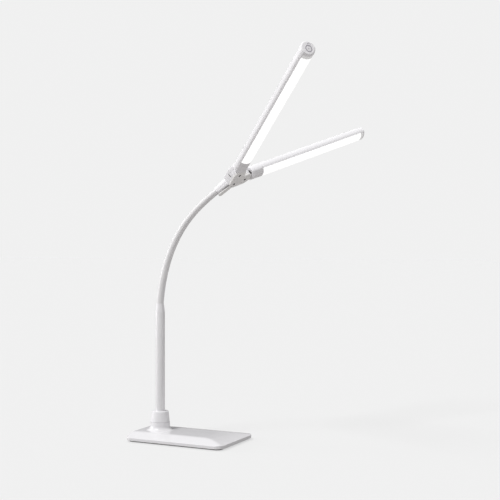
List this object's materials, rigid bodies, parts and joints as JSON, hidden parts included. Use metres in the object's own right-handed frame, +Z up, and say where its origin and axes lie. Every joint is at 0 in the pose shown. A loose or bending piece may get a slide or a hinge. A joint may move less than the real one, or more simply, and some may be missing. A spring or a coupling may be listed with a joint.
{
  "type": "folding led desk lamp",
  "caption": "Desk lamp with slim light bars hinged on a hub, a bendable neck, a straight stem and a flat weighted base.",
  "frame": {"origin": "centre of the non-slip pad's underside, the face that stands on the table", "axes": "+Z up; +X along the base's length, from the stem end to the front; +Y across the base, towards the far light bar's side"},
  "size_m": [0.3769, 0.482, 0.611],
  "materials": {
    "white_shell": "fine satin",
    "white_steel": "smooth powder coat",
    "neck_sleeve": "soft smooth sleeve over a steel spiral",
    "base_steel": "dark powder coat",
    "ballast": "as cast",
    "pad_foam": "closed foam",
    "bright_steel": "zinc plated",
    "brass_fitting": "turned",
    "board_green": "lacquered",
    "black_plastic": "moulded",
    "wire_skin": "smooth",
    "grey_plastic": "fine satin",
    "washer_plastic": "smooth",
    "diffuser_plastic": "frosted, glows when lit",
    "board_aluminium": "white lacquer",
    "led_body": "moulded",
    "ring_grey": "smooth",
    "touch_face": "smooth"
  },
  "bodies": {
    "root": {"base_cover": "white_shell", "base_plate": "base_steel", "non_slip_pad": "pad_foam", "base_screws": "bright_steel", "counterweight": "ballast", "driver_board": "board_green", "dc_jack": "black_plastic", "stem_tube": "white_steel", "stem_insert": "brass_fitting", "stem_nipple": "brass_fitting", "stem_nut": "bright_steel", "stem_lead": "wire_skin", "collar_ring": "white_shell", "neck_reducer": "white_shell"},
    "neck_1": {"neck_link_1": "neck_sleeve"},
    "neck_2": {"neck_link_2": "neck_sleeve"},
    "neck_3": {"neck_link_3": "neck_sleeve"},
    "neck_4": {"neck_link_4": "neck_sleeve"},
    "neck_5": {"neck_link_5": "neck_sleeve"},
    "neck_6": {"neck_link_6": "neck_sleeve"},
    "neck_7": {"neck_link_7": "neck_sleeve"},
    "neck_8": {"neck_link_8": "neck_sleeve"},
    "hub": {"neck_ferrule": "neck_sleeve", "hub_cover": "white_shell", "hub_plate": "grey_plastic", "hub_screws": "bright_steel", "pivot_pins": "bright_steel", "friction_washers": "washer_plastic"},
    "near_bar": {"near_knuckle": "white_shell", "near_housing": "white_shell", "near_diffuser": "diffuser_plastic", "near_led_board": "board_aluminium", "near_leds": "led_body", "near_end_cap": "white_shell", "near_touch_ring": "ring_grey", "near_touch_pad": "touch_face", "near_mode_window": "touch_face", "near_touch_board": "board_green"},
    "far_bar": {"far_knuckle": "white_shell", "far_housing": "white_shell", "far_diffuser": "diffuser_plastic", "far_led_board": "board_aluminium", "far_leds": "led_body", "far_end_cap": "white_shell"}
  },
  "joints": [
    {"name": "neck_swing", "type": "hinge", "parent": "root", "child": "neck_1", "pos_m": [-0.057, 0, 0.23156], "axis": [0, 0, 1], "range_deg": [-75, 75]},
    {"name": "neck_bend_lower", "type": "hinge", "parent": "neck_1", "child": "neck_2", "pos_m": [-0.05388, 0.00084, 0.25786], "axis": [-0.2588, 0.9659, 0], "range_deg": [-5, 9]},
    {"name": "neck_bend_2", "type": "hinge", "parent": "neck_2", "child": "neck_3", "pos_m": [-0.04856, 0.00226, 0.28378], "axis": [-0.2588, 0.9659, 0], "range_deg": [-5, 9]},
    {"name": "neck_bend_3", "type": "hinge", "parent": "neck_3", "child": "neck_4", "pos_m": [-0.04108, 0.00427, 0.30912], "axis": [-0.2588, 0.9659, 0], "range_deg": [-5, 9]},
    {"name": "neck_bend_4", "type": "hinge", "parent": "neck_4", "child": "neck_5", "pos_m": [-0.03107, 0.00695, 0.33352], "axis": [-0.2588, 0.9659, 0], "range_deg": [-5, 9]},
    {"name": "neck_bend_upper", "type": "hinge", "parent": "neck_5", "child": "neck_6", "pos_m": [-0.01827, 0.01038, 0.35646], "axis": [-0.2588, 0.9659, 0], "range_deg": [-5, 9]},
    {"name": "neck_bend_6", "type": "hinge", "parent": "neck_6", "child": "neck_7", "pos_m": [-0.00269, 0.01455, 0.37749], "axis": [-0.2588, 0.9659, 0], "range_deg": [-5, 9]},
    {"name": "neck_bend_7", "type": "hinge", "parent": "neck_7", "child": "neck_8", "pos_m": [0.01541, 0.0194, 0.39623], "axis": [-0.2588, 0.9659, 0], "range_deg": [-5, 9]},
    {"name": "neck_bend_8", "type": "hinge", "parent": "neck_8", "child": "hub", "pos_m": [0.03516, 0.02469, 0.41308], "axis": [-0.2588, 0.9659, 0], "range_deg": [-5, 9]},
    {"name": "near_fold", "type": "hinge", "parent": "hub", "child": "near_bar", "pos_m": [0.07933, 0.02071, 0.44425], "axis": [0.6213, 0.0045, -0.7836], "range_deg": [-46, 44]},
    {"name": "far_fold", "type": "hinge", "parent": "hub", "child": "far_bar", "pos_m": [0.07442, 0.05006, 0.44053], "axis": [-0.6213, -0.0045, 0.7836], "range_deg": [-48.5, 41.5]}
  ],
  "couplings": [
    {"joint": "neck_bend_2", "follows": "neck_bend_lower", "ratio": 1},
    {"joint": "neck_bend_3", "follows": "neck_bend_lower", "ratio": 1},
    {"joint": "neck_bend_4", "follows": "neck_bend_lower", "ratio": 1},
    {"joint": "neck_bend_6", "follows": "neck_bend_upper", "ratio": 1},
    {"joint": "neck_bend_7", "follows": "neck_bend_upper", "ratio": 1},
    {"joint": "neck_bend_8", "follows": "neck_bend_upper", "ratio": 1}
  ]
}
